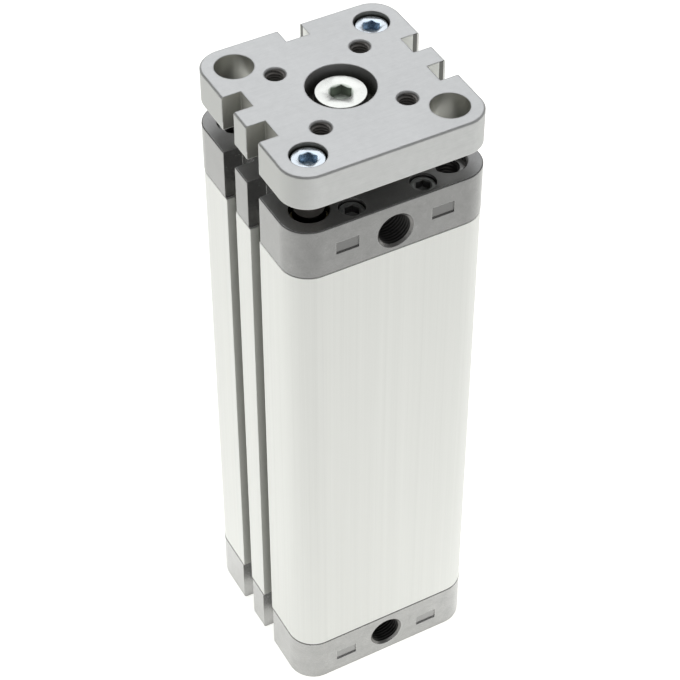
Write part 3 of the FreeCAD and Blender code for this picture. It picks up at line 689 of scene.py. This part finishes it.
def makePortMouth(radius):
    low, high = radius - mouthLook["width"], radius + mouthLook["sink"]
    ring = startSection(low, high, mouthLook["start"], mouthLook["end"])
    # the mouth side of the section narrows to an edge
    middle = (mouthLook["start"] + mouthLook["end"]) / 2
    pick(ring, "vertices", lambda row: row.co.z < middle)
    bpy.ops.transform.resize(value=(mouthLook["edgeShare"], 1.0, 1.0), center_override=(high, 0.0, 0.0))
    bpy.ops.mesh.select_all(action="SELECT")
    bpy.ops.mesh.delete(type="ONLY_FACE")
    bpy.ops.mesh.select_all(action="SELECT")
    bpy.ops.mesh.spin(steps=mouthLook["steps"], angle=2 * math.pi, center=origin, axis=(0.0, 0.0, 1.0))
    bpy.ops.mesh.select_all(action="SELECT")
    bpy.ops.mesh.remove_doubles(threshold=mouthLook["merge"])
    bpy.ops.mesh.normals_make_consistent(inside=False)
    bpy.ops.object.mode_set(mode="OBJECT")
    bpy.ops.object.shade_smooth_by_angle(angle=smoothAngle)
    return ring


portMouth = makePortMouth(tapped["front_port"]["dims"]["r_mm"])
for name, carrier in tappings["ports"]["holes"].items():
    place = (0.0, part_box(carrier)[0].y, tapped[name]["pos_m"][2])
    placeCopy(portMouth, name + "_mouth", place, (-math.pi / 2, 0.0, 0.0), bodyOf[carrier], slotOf[carrier],
              finishes["port_mouth"])
bpy.data.objects.remove(portMouth)
print("ports countersunk")


# socket head screws
screwLook = {"knurlPitch": 0.55, "knurlRim": 0.1, "knurlDepth": 0.09, "rimSteps": 5, "keyTurn": 30.0,
             "drillSlope": 0.3, "drillPoint": 0.05, "mouthBreak": 0.2, "mouthSlope": 0.55, "mouthSides": 64,
             "coatDrop": 0.01, "threadDepth": 0.6, "plain": 0.12, "tip": 0.6, "smooth": 35.0}
screwForms = {
    "capScrew": {"head": 6.3, "height": 4.0, "rim": 0.15, "key": 3.5, "keyDepth": 2.2, "shank": 4.0,
                 "length": 21.5, "pitch": 0.7},
    "guideScrew": {"head": 8.4, "height": 5.0, "rim": 0.3, "key": 4.0, "keyDepth": 2.6, "shank": 5.0,
                   "length": 20.0, "pitch": 0.8},
    "yokeScrew": {"head": 12.8, "height": 4.8, "rim": 0.2, "key": 5.0, "keyDepth": 2.8, "shank": 8.0,
                  "length": 22.0, "pitch": 1.25},
}
allCorners = ((-1, -1), (-1, 1), (1, -1), (1, 1))
screwSets = {
    "yoke_screw": {"form": "yokeScrew", "body": "rod", "corners": ((0, 0),), "headUp": True,
                   "finish": "bright_zinc", "socket": "bright_socket"},
    "guide_rod_screws": {"form": "guideScrew", "body": "rod", "corners": ((-1, -1), (1, 1)), "headUp": True,
                         "finish": "zinc_steel", "socket": "zinc_socket"},
    "bearing_cap_screws": {"form": "capScrew", "body": "cylinder", "corners": allCorners, "headUp": True,
                           "finish": "dull_zinc", "socket": "dull_socket"},
    "end_cap_screws": {"form": "capScrew", "body": "cylinder", "corners": allCorners, "headUp": False,
                       "finish": "zinc_steel", "socket": "zinc_socket"},
}


def makeSocketScrew(form):
    # head with a rounded rim, its top at zero
    startClean()
    sides = 2 * round(math.pi * form["head"] / screwLook["knurlPitch"] / 2)
    bpy.ops.mesh.primitive_cylinder_add(vertices=sides, radius=form["head"] / 2, depth=form["height"],
                                        location=(0.0, 0.0, -form["height"] / 2))
    screw = bpy.context.object
    bpy.ops.object.transform_apply(location=True, rotation=True, scale=True)
    pick(screw, "polygons", facesUp)
    bpy.ops.mesh.bevel(offset=form["rim"], segments=screwLook["rimSteps"])
    # straight knurl round the side
    pick(screw, "polygons", facesOut)
    bpy.ops.mesh.inset(use_individual=True, thickness=screwLook["knurlRim"], depth=-screwLook["knurlDepth"])
    # shank drawn out of the underside
    threadDepth = screwLook["threadDepth"] * form["pitch"]
    core = form["shank"] / 2 - threadDepth
    pick(screw, "polygons", facesDown)
    bpy.ops.mesh.inset(thickness=form["head"] / 2 - core)
    pullOut((0.0, 0.0, screwLook["tip"] - form["length"]))
    pullOut((0.0, 0.0, -screwLook["tip"]), 1.0 - screwLook["tip"] / form["shank"])
    # key socket with a drilled bottom
    startClean()
    corner = form["key"] / math.sqrt(3)
    bpy.ops.mesh.primitive_cylinder_add(vertices=6, radius=corner, depth=2 * form["keyDepth"],
                                        rotation=(0.0, 0.0, math.radians(screwLook["keyTurn"])))
    cutter = bpy.context.object
    bpy.ops.object.transform_apply(location=True, rotation=True, scale=True)
    pick(cutter, "polygons", facesDown)
    pullOut((0.0, 0.0, -screwLook["drillSlope"] * corner), screwLook["drillPoint"])
    cutWith(screw, cutter)
    # the socket's mouth broken by a cone, half of which stands above the head
    startClean()
    mouth = corner + screwLook["mouthBreak"]
    bpy.ops.mesh.primitive_cone_add(vertices=screwLook["mouthSides"], radius1=0.0, radius2=2 * mouth,
                                    depth=2 * mouth * screwLook["mouthSlope"])
    cutWith(screw, bpy.context.object)
    # thread on the shank
    turns = int(form["length"] * (1.0 - screwLook["plain"]) / form["pitch"]) - 1
    ridge = makeRidge(form["shank"] / 2, form["pitch"], threadDepth, turns, False)
    makeActive(screw)
    ridge.location = (0.0, 0.0, screwLook["tip"] - form["height"] - form["length"])
    ridge.select_set(True)
    bpy.ops.object.join()
    # a second material in the socket, which carries the socket's painted light and shade
    for coat in range(2):
        bpy.ops.object.material_slot_add()
    pick(screw, "polygons", lambda row: row.center.xy.length < mouth
         and -form["height"] < row.center.z < -screwLook["coatDrop"])
    screw.active_material_index = 1
    bpy.ops.object.material_slot_assign()
    bpy.ops.object.mode_set(mode="OBJECT")
    bpy.ops.object.shade_smooth_by_angle(angle=math.radians(screwLook["smooth"]))
    return screw


models = {name: makeSocketScrew(form) for name, form in screwForms.items()}
for nodeName, screwSet in screwSets.items():
    low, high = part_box(nodeName)
    headRadius = screwForms[screwSet["form"]]["head"] / 2 * millimetre
    reach = high - Vector((headRadius, headRadius, 0.0))
    turn = origin if screwSet["headUp"] else (math.pi, 0.0, 0.0)
    level = high.z if screwSet["headUp"] else low.z
    for count, (alongX, alongY) in enumerate(screwSet["corners"], start=1):
        name = f"{nodeName.removesuffix('s')}_{count}_turned"
        place = (alongX * reach.x, alongY * reach.y, level)
        piece = placeCopy(models[screwSet["form"]], name, place, turn, screwSet["body"], slotOf[nodeName],
                          finishes[screwSet["finish"]], finishes[screwSet["socket"]])
        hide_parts(nodeName)
for model in models.values():
    bpy.data.objects.remove(model)
print("screws made")


# floor and room
stageLook = {"floorSize": 8.0, "floorTones": (0.89, 0.91), "floorRough": 0.7, "floorGrain": 300.0,
             "floorSeed": 30.0, "floorSpread": (0.3, 0.7), "glowNear": (0.537, 0.54, 0.515, 1.0),
             "glowFar": (0.90, 0.905, 0.864, 1.0), "glowWay": (0.25, 0.97, 0.0), "glowSpan": (-0.25, -0.02),
             "roomLight": 0.175, "roomPale": 0.95}


def makeFloor():
    startClean()
    bpy.ops.mesh.primitive_plane_add(size=stageLook["floorSize"])
    floor = bpy.context.object
    floor.name = "floor"
    material, tree, shader = newFinish("paleFloor", Roughness=stageLook["floorRough"], Emission_Strength=1.0)
    speck = useGroup(tree, grain, Scale=stageLook["floorGrain"], Seed=stageLook["floorSeed"])
    tone = remap(tree, speck["Shade"], *stageLook["floorSpread"])
    colour = blendColours(tree, tone, *(grey(level) for level in stageLook["floorTones"]))
    tree.links.new(colour, shader.inputs["Base Color"])
    depth = addNode(tree, "ShaderNodeVectorMath", {0: objectPlace(tree), 1: stageLook["glowWay"]},
                    operation="DOT_PRODUCT")
    far = remap(tree, depth.outputs["Value"], *stageLook["glowSpan"])
    glow = blendColours(tree, far, stageLook["glowNear"], stageLook["glowFar"])
    tree.links.new(glow, shader.inputs["Emission Color"])
    floor.data.materials.append(material)


def makeWorld():
    world = bpy.data.worlds.new("studio")
    world.use_nodes = True
    tree = world.node_tree
    seen = addNode(tree, "ShaderNodeLightPath").outputs["Is Camera Ray"]
    level = remap(tree, seen, 0.0, 1.0, stageLook["roomLight"], stageLook["roomPale"])
    colour = addNode(tree, "ShaderNodeCombineColor", {0: level, 1: level, 2: level}).outputs[0]
    tree.links.new(colour, tree.nodes["Background"].inputs["Color"])
    bpy.context.scene.world = world


lamps = {
    "topBox": {"place": (0.2, 0.5, 0.9), "size": (0.9, 0.9), "watts": 4.26, "tint": (0.985, 1.0, 1.015)},
    "frontPanel": {"place": (-0.2, -1.0, 0.25), "size": (0.9, 0.35), "watts": 0.83, "tint": (1.0, 1.0, 1.0)},
    "rightPanel": {"place": (0.9, -0.3, 0.4), "size": (0.5, 0.6), "watts": 0.26, "tint": (1.0, 1.0, 1.0)},
}
lampAim = Vector((0.0, 0.0, 0.1))


def makeLamps():
    for name, lamp in lamps.items():
        light = bpy.data.lights.new(name, "AREA")
        light.shape = "RECTANGLE"
        light.size, light.size_y = lamp["size"]
        light.energy = lamp["watts"]
        light.color = lamp["tint"]
        holder = bpy.data.objects.new(name, light)
        holder.location = lamp["place"]
        holder.rotation_euler = (lampAim - Vector(lamp["place"])).to_track_quat("-Z", "Y").to_euler()
        bpy.context.scene.collection.objects.link(holder)


camera = {"azimuth": -28.674, "elevation": 44.203, "distance": 0.573921, "lens": 114.369, "sensor": 36.0,
          "nearest": 0.01, "target": (-0.000258, 0.0, 0.102187)}


def makeCamera():
    azimuth, elevation = math.radians(camera["azimuth"]), math.radians(camera["elevation"])
    back = Vector((math.sin(azimuth) * math.cos(elevation), -math.cos(azimuth) * math.cos(elevation),
                   math.sin(elevation)))
    lens = bpy.data.cameras.new("camera")
    lens.lens = camera["lens"]
    lens.sensor_width = camera["sensor"]
    lens.clip_start = camera["nearest"]
    holder = bpy.data.objects.new("camera", lens)
    holder.location = Vector(camera["target"]) + back * camera["distance"]
    holder.rotation_euler = (-back).to_track_quat("-Z", "Y").to_euler()
    bpy.context.scene.collection.objects.link(holder)
    bpy.context.scene.camera = holder


makeFloor()
makeWorld()
makeLamps()
makeCamera()
bpy.context.scene.view_settings.view_transform = "Standard"
print("stage set")
